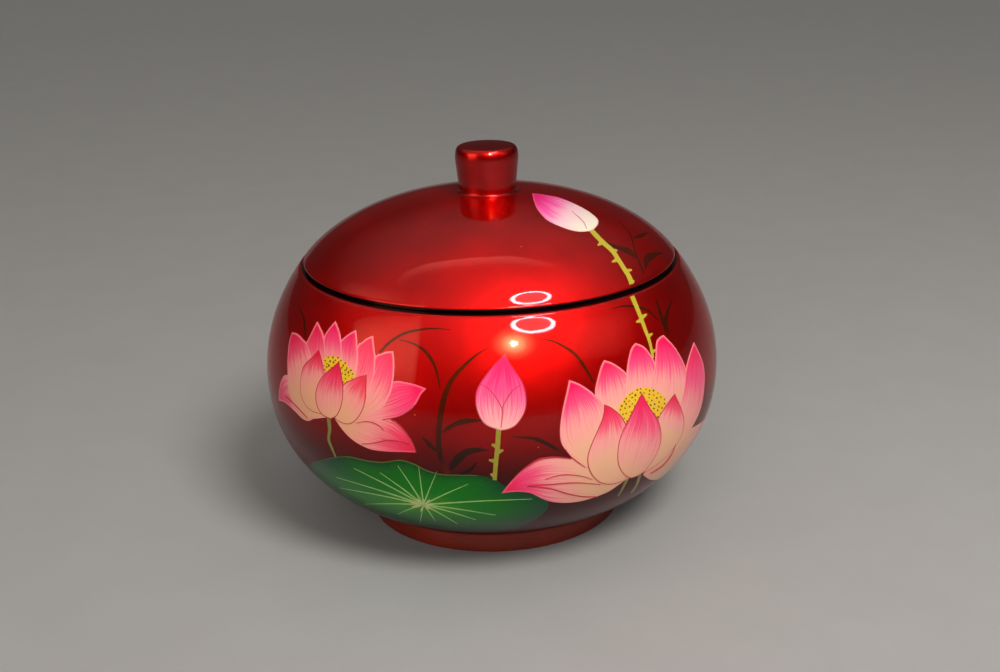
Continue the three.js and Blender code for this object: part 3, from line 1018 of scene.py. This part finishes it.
# Lines drawn on the petals: points, then widths along them
PETAL_LINES = {
    "lotus_left": [
        ([(361.8, 443.8), (374.1, 442.8), (387.3, 440.2), (400.6, 441.2), (409.8, 444.3)],
          (0.4, 0.9, 0.4)),
        ([(356.7, 422.9), (366.9, 421.3), (377.1, 423.9), (384.3, 430)], (0.4, 0.7, 0.3)),
        ([(391.4, 419.3), (399.6, 424.9), (406.7, 433.1), (412.9, 443.3), (416, 451.6)],
          (0.5, 1.0, 0.4)),
        ([(383, 419.2), (395.7, 417.3), (405.4, 413), (415, 404.5)], (0.5, 0.9, 0.3)),
        ([(286, 396), (292, 401), (300, 409), (308, 417.5)], (0.3, 0.8, 0.4)),
    ],
    "lotus_right": [
        ([(526.7, 486.2), (538, 486.6), (551.2, 488.5), (566.5, 493.1), (581.8, 496.1),
          (597.1, 496.4)], (0.3, 1.0, 0.5)),
        ([(528.3, 485.4), (551.2, 483.9), (575.7, 482.5), (600.2, 484)], (0.3, 0.8, 0.3)),
        ([(511.4, 480.4), (520.6, 471.2), (532.9, 462.2), (542, 458.3), (555.8, 457), (571, 458.4)],
          (0.4, 1.5, 0.9)),
        ([(545, 479), (562, 474.5), (580, 475.5), (592, 479)], (0.2, 0.6, 0.2)),
        ([(565, 448.7), (571.5, 457), (584.9, 467)], (0.4, 1.0, 0.5)),
        ([(675, 444), (672, 452), (667, 459.5), (660, 467), (650, 473)], (0.3, 0.9, 0.5)),
    ],
    "bud_bowl": [
        ([(479.9, 383.9), (486.8, 387.6), (494.2, 395), (498.9, 402.4), (501.6, 407.9),
          (502.6, 414.4), (500.9, 428)], (0.4, 0.9, 0.7)),
        ([(521.1, 384.8), (513.7, 389.4), (508.1, 396.8), (503.5, 405.1), (502, 409)],
          (0.4, 0.9, 0.6)),
    ],
    "bud_lid": [
        ([(571.7, 211.4), (579.7, 218.3), (584, 223), (586.6, 229)], (0.3, 0.7, 0.5)),
    ],
}

LEAF_CENTRE = (423.5, 504.5)
LEAF_OUTLINE = [
    (311.4, 463.4), (317.6, 461), (324.9, 460.8), (333.2, 457.4), (348.1, 456.3), (366.3, 460.3),
    (382.9, 461.9), (399.5, 459.9), (412.8, 463.2), (426, 469.9), (440.9, 474), (454.2, 474.8),
    (474.1, 474.8), (494, 479), (505.6, 486.5), (523.8, 492.3), (540.4, 496.4), (548.7, 503),
    (545.4, 511.3), (532.1, 521.3), (507.3, 529.6), (474.1, 532.1), (449.2, 530.4), (416.1, 524.6),
]
# The leaf's end at the bowl's side, by bearing in degrees and height in millimetres
LEAF_SIDE_END = [
    (-122, 17.8), (-129, 18.4), (-135.5, 20.2), (-140.8, 22.8), (-144.6, 26), (-147, 29.5),
    (-147.6, 33), (-146.5, 36.5),
]
LEAF_VEIN_ENDS = [
    (336.5, 477.3), (339.8, 487.8), (364.7, 503.9), (397.8, 513.8), (420.2, 522.9), (435.1, 520.4),
    (457.5, 523.8), (475.8, 519.6), (495.7, 515), (532.1, 498.9), (468.3, 484), (436.8, 471.5),
    (418.6, 466.6), (397.8, 465.7), (380, 472.5), (354, 468.2),
]
LEAF_HEART_DABS = [
    ((410, 502), (421, 504.6)), ((412, 506.5), (421, 505.6)), ((417, 498.5), (421.5, 503.5)),
    ((424, 499), (423, 504)), ((430, 499.5), (425.5, 503.5)), ((434, 504), (426, 505)),
    ((431, 508.5), (425.5, 506)), ((421, 511), (422.5, 506.5)),
]
LEAF_TOP_EDGE = [
    (318, 461), (333.2, 457.6), (348.1, 456.6), (366.3, 460.6), (382.9, 462.2), (399.5, 460.2),
    (412.8, 463.5), (426, 470.2), (440.9, 474.3), (458, 475), (478, 475.5),
]

# Lamps that the lacquer mirrors: where their mirror images lie, how far off they stand
# and how bright they are
WARM_LAMP_IMAGE = (514, 343.7)
BOWL_RING_IMAGE = (533.2, 324.6)
LID_RING_IMAGE = (530.9, 298)
WARM_LAMP_DISTANCE = 1.3
LAMP_DISTANCE = 1.0
ROUND_LAMP_CORNERS = 96
PATCH_LAMP_STEPS = 24
RING_GLOW = 60
RING_TINT = (1.0, 0.86, 0.93)
RING_STEPS = [(0, 2.0), (0.78, 2.5), (0.8, RING_GLOW), (0.9, RING_GLOW), (1, 0.5 * RING_GLOW)]
HALO_STEPS = [(0, 28), (0.22, 26), (0.34, 16), (0.58, 6), (0.8, 2), (1, 0)]
WINDOW_TINT = (1, 0.42, 0.27)

# Round ones: body, middle and reach of the mirror image, its tilt in degrees, steps of
# brightness, tint, and how many pixels the inner steps are lifted by
ROUND_LAMPS = {
    "ring_lamp_bowl": ("bowl", BOWL_RING_IMAGE, (22.6, 8.6), 2, RING_STEPS, RING_TINT, 0.6),
    "ring_lamp_lid": ("lid", LID_RING_IMAGE, (20.8, 6.6), 5, RING_STEPS, RING_TINT, 0.4),
    "warm_halo": ("bowl", WARM_LAMP_IMAGE, (24, 17), 0, HALO_STEPS, (1, 0.8, 0.32), 0),
}

# Patches: body, upper and lower line of the mirror image, strengths from the one to the
# other, tint, and the share of the patch over which its borders fade
PATCH_LAMPS = {
    "window": (
        "bowl", [(352, 322), (375, 316), (424, 316)], [(352, 404), (380, 404), (413, 404)],
        (0.8, 3.2, 3.8, 3.2, 1.6, 0.4), WINDOW_TINT, 0.06),
    "window_on_lid": (
        "lid", [(338, 278), (370, 284), (408, 292)], [(338, 290), (370, 298), (408, 303)],
        (0, 0.8, 1.6), WINDOW_TINT, 0.3),
    "ceiling": (
        "lid", [(395, 284), (404, 273), (420, 266), (440, 261.6), (460, 259), (484, 257),
                (504, 256), (520, 257), (540, 261), (562, 265)],
        [(400, 292), (412, 282), (426, 276), (444, 272), (462, 270), (484, 269), (504, 268),
         (522, 268), (541, 269), (562, 271)],
        (4.8, 4.3, 2.7, 0.6, 0), (1, 0.2, 0.16), 0.25),
    "wall": (
        "bowl", [(556, 324), (600, 317), (638, 308)], [(556, 362), (600, 358), (636, 349)],
        (1.2, 3.2, 3.2, 1.2), (1, 0.13, 0.1), 0.35),
}

# Power of the lamps and brightness of the sky
WARM_POWER = 37
GLOW_POWER = 1.6
KEY_POWER = 8.8
FILL_POWER = 1.5
SKY_LOW = 0.04
SKY_HIGH = 0.45

# Stems: points, then widths along them. Thorns: root and point
BUD_STEM = [
    ([(498.6, 428), (497.5, 446.8), (495.6, 465.3), (494.7, 480)], (5.1, 4.6, 4.2)),
]
BUD_THORNS = [
    ((496, 446), (491.6, 444.4)), ((495, 461), (488.9, 460)), ((493.8, 475.5), (490.4, 474)),
    ((499, 451.5), (503.4, 450)),
]
UPPER_STEM = [
    ([(631.9, 296.2), (635.9, 305.5), (640.5, 317), (645.1, 329.6), (649.7, 342.3), (653, 358)],
      (4.4, 3.4, 2.2)),
]
UPPER_THORNS = [
    ((641.5, 317.5), (646.8, 314.2)), ((641, 320.5), (636, 322)), ((647, 337), (652.4, 333.4)),
    ((651, 352.5), (655.6, 349.8)),
]
# Stems low on the bowl, drawn with the darker stem paint as painted shade
SHADED_STEMS = [
    ([(328.5, 416), (329.7, 429), (328.7, 439.2), (331.2, 446.3), (335.8, 457)], (3.8, 2.6, 1.6)),
    ([(628.5, 476), (621.6, 490), (617.8, 496.1)], (3.0, 2.2, 1.0)),
    ([(640.2, 474), (636.2, 485.4), (630.8, 493.1)], (3.0, 2.2, 1.0)),
]
LID_STEMS = [
    ([(590.6, 229.5), (600.4, 240.1), (611.8, 250.4), (617.6, 258.5), (623.3, 267.7),
      (629.1, 276.8), (631.6, 284.2)], (4.6, 4.4, 4.0, 4.6)),
]
LID_THORNS = [
    ((602, 242.5), (597.6, 245.6)), ((611.5, 251), (617.4, 250.4)), ((618, 259.5), (611.8, 262)),
    ((625, 271.5), (631.8, 269.8)), ((630, 280.5), (634.4, 281.6)),
]

# Grasses: points, then widths along them
BOWL_GRASSES = [
    ([(379.2, 352.9), (389.9, 342.1), (403.7, 333.7), (419, 329.9), (434.3, 328.4), (451.1, 329.9)],
      (2.6, 2.8, 0.8)),
    ([(399.1, 339.8), (411.3, 342.9), (423.6, 349.8), (432.8, 362), (437.3, 374.3), (440.4, 389.6)],
      (0.8, 3.6, 1.2)),
    ([(447.5, 474), (440.4, 456.9), (438.5, 437), (440.4, 417.1), (444, 398.8), (451.6, 380.4),
      (463.4, 366.6), (477.1, 354.4), (489, 347.5)], (4.5, 5.5, 6, 4, 0.8)),
    ([(441.9, 432.5), (451.1, 426.3), (461.8, 421.7), (474.1, 420.5), (486.3, 419.9)], (3, 6, 0.8)),
    ([(438.5, 452), (432, 447), (422, 437)], (1.5, 5, 1)),
    ([(447.5, 474), (455.7, 461.5), (464.9, 453), (477.1, 450), (490, 450.5)], (2, 9, 6, 0.8)),
    ([(535.3, 339.1), (550.6, 340.6), (562.9, 346), (575.1, 354.4), (584.3, 366.6), (594.2, 383.5)],
      (0.8, 2.4, 3.4, 2.4)),
    ([(512, 436.5), (533.8, 438.6), (546, 443.2), (561, 452)], (0.8, 4, 3)),
    ([(298.8, 305.8), (303, 315.4), (304.8, 326.4), (305.6, 338)], (0.8, 2.4, 1.6)),
    ([(611.8, 309), (623.3, 306.1), (637.1, 306.7), (648.6, 311.3), (659, 320.5)], (0.8, 3, 1)),
    ([(655.5, 298), (659, 309), (662, 318), (668, 336)], (1, 4, 2)),
    ([(672, 300), (668.5, 309), (666, 319), (668, 336)], (1, 4, 2)),
    ([(478, 461), (470, 470), (458, 474.5)], (0.8, 3.5, 1)),
]
LID_GRASSES = [
    ([(644, 273.4), (635.9, 253.9), (630.2, 234.4), (619.9, 221.7)], (2.4, 1.6, 0.8)),
    ([(632.5, 238), (640, 236), (648.5, 232.4)], (0.8, 5, 0.8)),
    ([(645.3, 270), (648, 258), (662.5, 252.5)], (1, 9, 1)),
    ([(604, 241.5), (617.6, 247.4), (628, 251), (637, 259)], (0.8, 3, 6, 1)),
]

# Brush widths in pixels
THORN_WIDTHS = (4.4, 3.2, 1.4)
VEIN_WIDTHS = (1.6, 0.9, 0.3)
VEIN_BOW = 0.6
DAB_WIDTHS = (0.6, 2.0, 0.6)
LEAF_EDGE_WIDTHS = (0.5, 1.0, 0.8, 0.4)

# Dots in a flower's heart: how far out their rows lie, then in pixels how far apart they
# are, how far they stray and how large they are, and how much higher than wide
HEART_STEPS = 360
DOT_ROWS = (0.92, 0.72, 0.53, 0.33)
DOT_SPACING = 4.4
DOT_STRAY = 0.8
DOT_RADII = (0.65, 1.05)
DOT_SQUASH = (0.8, 1.5)


def paint_petals(painting, look, petals, lay=None):
    for tip, left, right, base, pink, rim, crimson in petals:
        painting.petal(look, tip, left, right, base, lay, pink=pink, rim=rim, crimson=crimson,
                       white=WHITENESS[painting.name])


def paint_lines(painting, look):
    for points, widths in PETAL_LINES[painting.name]:
        painting.stroke(look, points, widths)


def heart_dots(painting, look, centre, outline):
    """Dark dabs inside the flower's yellow heart, in loose rows as a hand dots them."""
    hand = np.random.default_rng(11)
    centre = np.array(centre, float)
    border = smooth_line([*outline, outline[0]], HEART_STEPS + 1)[:-1]
    length = np.linalg.norm(np.diff(border, axis=0), axis=1).sum()
    for row, reach in enumerate(DOT_ROWS):
        count = int(length * reach / DOT_SPACING)
        for i in range(count):
            at = border[int(HEART_STEPS * ((i + 0.5 * (row % 2)) / count)) % HEART_STEPS]
            spot = centre + reach * (at - centre) + hand.uniform(-DOT_STRAY, DOT_STRAY, 2)
            painting.dot(look, spot, hand.uniform(*DOT_RADII), hand.uniform(*DOT_SQUASH))


def lotus(name, surface, looks, petals, inner_petals, heart, heart_centre, side_petals=()):
    painting = Painting(name, surface, FLOWER_LAYER)
    paint_petals(painting, looks["petal_paint"], side_petals, surface.unrolled)
    paint_petals(painting, looks["petal_paint"], petals)
    painting.fan(looks["heart_paint"], heart_centre, heart, rings=6, columns=60)
    heart_dots(painting, looks["heart_dot_paint"], heart_centre, heart)
    # The dots take no layer, so the petals over them start one higher
    painting.layer += 1
    paint_petals(painting, looks["petal_paint"], inner_petals)
    paint_lines(painting, looks["petal_line_paint"])
    painting.object()


def bud(name, surface, looks, petals):
    painting = Painting(name, surface, BUD_LAYER)
    paint_petals(painting, looks["petal_paint"], petals)
    paint_lines(painting, looks["petal_line_paint"])
    painting.object()


def same_layer(painting, look, lines, layer, **settings):
    """Strokes that don't cover each other."""
    for points, widths in lines:
        painting.layer = layer
        painting.stroke(look, points, widths, **settings)


def grasses(name, surface, look, lines):
    painting = Painting(name, surface, GRASS_LAYER)
    same_layer(painting, look, lines, GRASS_LAYER)
    painting.object()


def stems(name, surface, look, lines, thorns):
    painting = Painting(name, surface, STEM_LAYER)
    same_layer(painting, look, lines, STEM_LAYER)
    same_layer(painting, look, [(thorn, THORN_WIDTHS) for thorn in thorns], STEM_LAYER, spacing=1.5)
    painting.object()


def leaf(surface, looks):
    painting = Painting("lotus_leaf", surface, LEAF_LAYER)
    outline = np.vstack([surface.rolled(LEAF_OUTLINE), LEAF_SIDE_END])
    painting.fan(looks["leaf_paint"], surface.rolled(LEAF_CENTRE)[0], outline, rings=26,
                 columns=160, lay=surface.unrolled)
    veins = []
    for end in LEAF_VEIN_ENDS:
        middle = (np.array(LEAF_CENTRE) + end) / 2 - (0, VEIN_BOW)
        veins.append(([LEAF_CENTRE, middle, end], VEIN_WIDTHS))
    same_layer(painting, looks["vein_paint"], veins, LEAF_LAYER + 2)
    for dab in LEAF_HEART_DABS:
        painting.stroke(looks["leaf_heart_paint"], dab, DAB_WIDTHS, spacing=1.5)
    painting.stroke(looks["leaf_edge_paint"], LEAF_TOP_EDGE, LEAF_EDGE_WIDTHS)
    painting.object()


def turned_pieces():
    """The five lacquered pieces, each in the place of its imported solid."""
    lacquer = red_lacquer("red_lacquer")
    black = black_lacquer()

    bowl = turned("bowl_body", [(bowl_underneath(), 0), (bowl_outside(), 0), (bowl_inside(), 1)],
                  [lacquer, black])
    foot = turned("foot", [(foot_outline(), 0)], [foot_lacquer()])
    lid = turned("lid_dome", [(lid_outside(), 0), (lid_inside(), 1)], [lacquer, black])
    ring = turned("locating_ring", [(lid_ring_outline(), 0)], [black])
    grip = turned("lid_knob", [(knob_outline(), 0)], [red_lacquer("knob_lacquer", (0.3, 0.34))])
    placed = [(bowl, "bowl_shell", "bowl"), (foot, "foot_ring", "bowl"), (lid, "lid_shell", "lid"),
              (ring, "lid_ring", "lid"), (grip, "knob", "lid")]
    for piece, node, body in placed:
        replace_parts(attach(piece, body), node)
    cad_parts["knob_dowel"].data.materials.clear()
    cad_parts["knob_dowel"].data.materials.append(bare_wood())


def painting(bowl, lid):
    """Everything painted on the lacquer, back to front."""
    looks = {name: flat_paint(name, *shades) for name, shades in FLAT_PAINTS.items()}
    looks.update(petal_paint=petal_paint(), leaf_paint=leaf_paint(), grass_paint=grass_paint())
    grasses("grass_bowl", bowl, looks["grass_paint"], BOWL_GRASSES)
    grasses("grass_lid", lid, looks["grass_paint"], LID_GRASSES)
    stems("stem_bud", bowl, looks["stem_paint"], BUD_STEM, BUD_THORNS)
    stems("stem_upper", bowl, looks["lid_stem_paint"], UPPER_STEM, UPPER_THORNS)
    stems("stems_flowers", bowl, looks["shaded_stem_paint"], SHADED_STEMS, [])
    stems("stems_lid", lid, looks["lid_stem_paint"], LID_STEMS, LID_THORNS)
    leaf(bowl, looks)
    lotus("lotus_left", bowl, looks, LEFT_PETALS, LEFT_INNER_PETALS, LEFT_HEART, LEFT_HEART_CENTRE)
    lotus("lotus_right", bowl, looks, RIGHT_PETALS, RIGHT_INNER_PETALS, RIGHT_HEART,
          RIGHT_HEART_CENTRE, [SIDE_PETAL])
    bud("bud_bowl", bowl, looks, BOWL_BUD)
    bud("bud_lid", lid, looks, LID_BUD)


def camera():
    data = bpy.data.cameras.new("camera")
    data.sensor_width = SENSOR_WIDTH
    data.lens = FOCAL_PIXELS / IMAGE_WIDTH * SENSOR_WIDTH
    made = bpy.data.objects.new("camera", data)
    right, up, forward = (Vector(axis) for axis in camera_axes())
    turn = Matrix((right, up, -forward)).transposed().to_4x4()
    made.matrix_world = Matrix.Translation(Vector(CAMERA_PLACE)) @ turn
    bpy.context.scene.collection.objects.link(made)
    bpy.context.scene.camera = made


def floor():
    """A wide pale floor under the bowl."""
    half = 20
    mesh = bpy.data.meshes.new("floor")
    mesh.from_pydata([(-half, -half, 0), (half, -half, 0), (half, half, 0), (-half, half, 0)], [],
                     [(0, 1, 2, 3)])
    look = Look("floor_paper")
    look.set(Base_Color=look.mix(look.noise(30, 4.0), colour(160, 159, 157), colour(166, 165, 163)),
             Roughness=0.9, Specular_IOR_Level=0.2)
    mesh.materials.append(look.material)
    made = bpy.data.objects.new("floor", mesh)
    bpy.context.scene.collection.objects.link(made)


def lamp(name, kind, place, aim, energy, tint, **settings):
    data = bpy.data.lights.new(name, kind)
    data.energy = energy
    data.color = tint
    for key, value in settings.items():
        setattr(data, key, value)
    made = bpy.data.objects.new(name, data)
    made.location = place
    made.rotation_euler = (Vector(aim) - Vector(place)).to_track_quat("-Z", "Y").to_euler()
    bpy.context.scene.collection.objects.link(made)
    return made


def shining(name, tint):
    """A see-through glow, as strong as the points of its mesh say."""
    material = bpy.data.materials.new(name)
    nodes = Nodes(material, "OUTPUT_MATERIAL")
    glow = nodes.add("ShaderNodeEmission", {"Color": (*tint, 1), "Strength": nodes.field("glow")})
    clear = nodes.add("ShaderNodeBsdfTransparent")
    both = nodes.add("ShaderNodeAddShader", {0: glow.outputs[0], 1: clear.outputs[0]})
    nodes.set(Surface=both.outputs[0])
    return material


def mirrored_lamp(name, surface, grid, wrap, strengths, tint):
    """A shining sheet whose mirror image in the lacquer covers a grid of pixels. Each row
    of the grid has its own strength."""
    rows, columns = grid.shape[:2]
    mesh = bpy.data.meshes.new(name)
    mesh.from_pydata(surface.mirrored(grid, LAMP_DISTANCE).tolist(), [],
                     grid_faces(rows, columns, wrap))
    glow = mesh.attributes.new("glow", "FLOAT", "POINT")
    strengths = np.broadcast_to(strengths, (rows, columns))
    glow.data.foreach_set("value", strengths.astype(np.float32).ravel())
    mesh.materials.append(shining(name, tint))
    made = bpy.data.objects.new(name, mesh)
    made.visible_camera = False
    made.visible_diffuse = False
    made.visible_shadow = False
    bpy.context.scene.collection.objects.link(made)


def round_lamp(name, surface, centre, reach, tilt, steps, tint, rise):
    """A round lamp whose mirror image is a tilted ellipse. Each step has its share of the
    reach and its strength, and rise lifts the inner steps, so that the rim is thicker below."""
    bearings = np.linspace(0, 2 * math.pi, ROUND_LAMP_CORNERS, endpoint=False)
    across, down = reach[0] * np.cos(bearings), reach[1] * np.sin(bearings)
    cosine, sine = math.cos(math.radians(tilt)), math.sin(math.radians(tilt))
    outline = np.stack([across * cosine + down * sine, down * cosine - across * sine], axis=1)
    shares, strengths = np.array(steps, float).T
    lifted = np.where(shares < 1, 1.0, 0.0)[:, None, None] * np.array([0, -rise])
    grid = np.array(centre) + lifted + shares[:, None, None] * outline
    mirrored_lamp(name, surface, grid, True, strengths[:, None], tint)


def patch_lamp(name, surface, top, bottom, strengths, tint, softness):
    """A patch of light between two lines of its mirror image, with its own strengths from
    the one line to the other, and fading at its borders."""
    share = np.linspace(0, 1, PATCH_LAMP_STEPS)
    top_line, bottom_line = (smooth_line(line, PATCH_LAMP_STEPS) for line in (top, bottom))
    grid = top_line + share[:, None, None] * (bottom_line - top_line)
    down = np.interp(share, np.linspace(0, 1, len(strengths)), strengths)
    across = np.clip(np.minimum(share, 1 - share) / softness, 0, 1)
    mirrored_lamp(name, surface, grid, False, down[:, None] * across, tint)


def sky():
    """Soft light from above that fades towards the horizon."""
    world = bpy.data.worlds.new("world")
    nodes = Nodes(world, "BACKGROUND")
    way = nodes.add("ShaderNodeTexCoord").outputs["Generated"]
    height = nodes.add("ShaderNodeSeparateXYZ", {0: way}).outputs[2]
    strength = nodes.spread(height, 0.35, 0.95, SKY_LOW, SKY_HIGH)
    nodes.set(Color=(1.0, 0.96, 0.9, 1), Strength=strength)
    bpy.context.scene.world = world


def studio(surfaces):
    """A soft sky, a lamp overhead and a fill in front for what is painted, and the warm lamp,
    rings and windows that the lacquer mirrors."""
    middle = (0, 0, 0.07)
    warm_place = surfaces["bowl"].mirrored(WARM_LAMP_IMAGE, WARM_LAMP_DISTANCE)[0]
    ring_place = surfaces["bowl"].mirrored(BOWL_RING_IMAGE, LAMP_DISTANCE)[0]
    warm = lamp("warm_lamp", "POINT", warm_place, middle, WARM_POWER, (1, 0.88, 0.74),
                shadow_soft_size=0.03)
    glow = lamp("warm_glow", "POINT", warm_place, middle, GLOW_POWER, (1, 0.5, 0.2),
                shadow_soft_size=0.12)
    for mirrored in (warm, glow):
        mirrored.visible_diffuse = False
    key = lamp("key", "AREA", ring_place, middle, KEY_POWER, (1, 0.98, 0.95), shape="DISK",
               size=0.4)
    fill = lamp("front_fill", "SUN", (-0.35, -1.6, 0.5), middle, FILL_POWER, (1, 1, 1),
                angle=math.radians(50))
    for unseen in (key, fill):
        unseen.visible_glossy = False
    for name, (body, *settings) in ROUND_LAMPS.items():
        round_lamp(name, surfaces[body], *settings)
    for name, (body, *settings) in PATCH_LAMPS.items():
        patch_lamp(name, surfaces[body], *settings)
    sky()
    bpy.context.scene.view_settings.view_transform = "Standard"


surfaces = {"bowl": Surface(bowl_outside(), "bowl"), "lid": Surface(lid_outside(), "lid")}
camera()
floor()
studio(surfaces)
turned_pieces()
painting(surfaces["bowl"], surfaces["lid"])
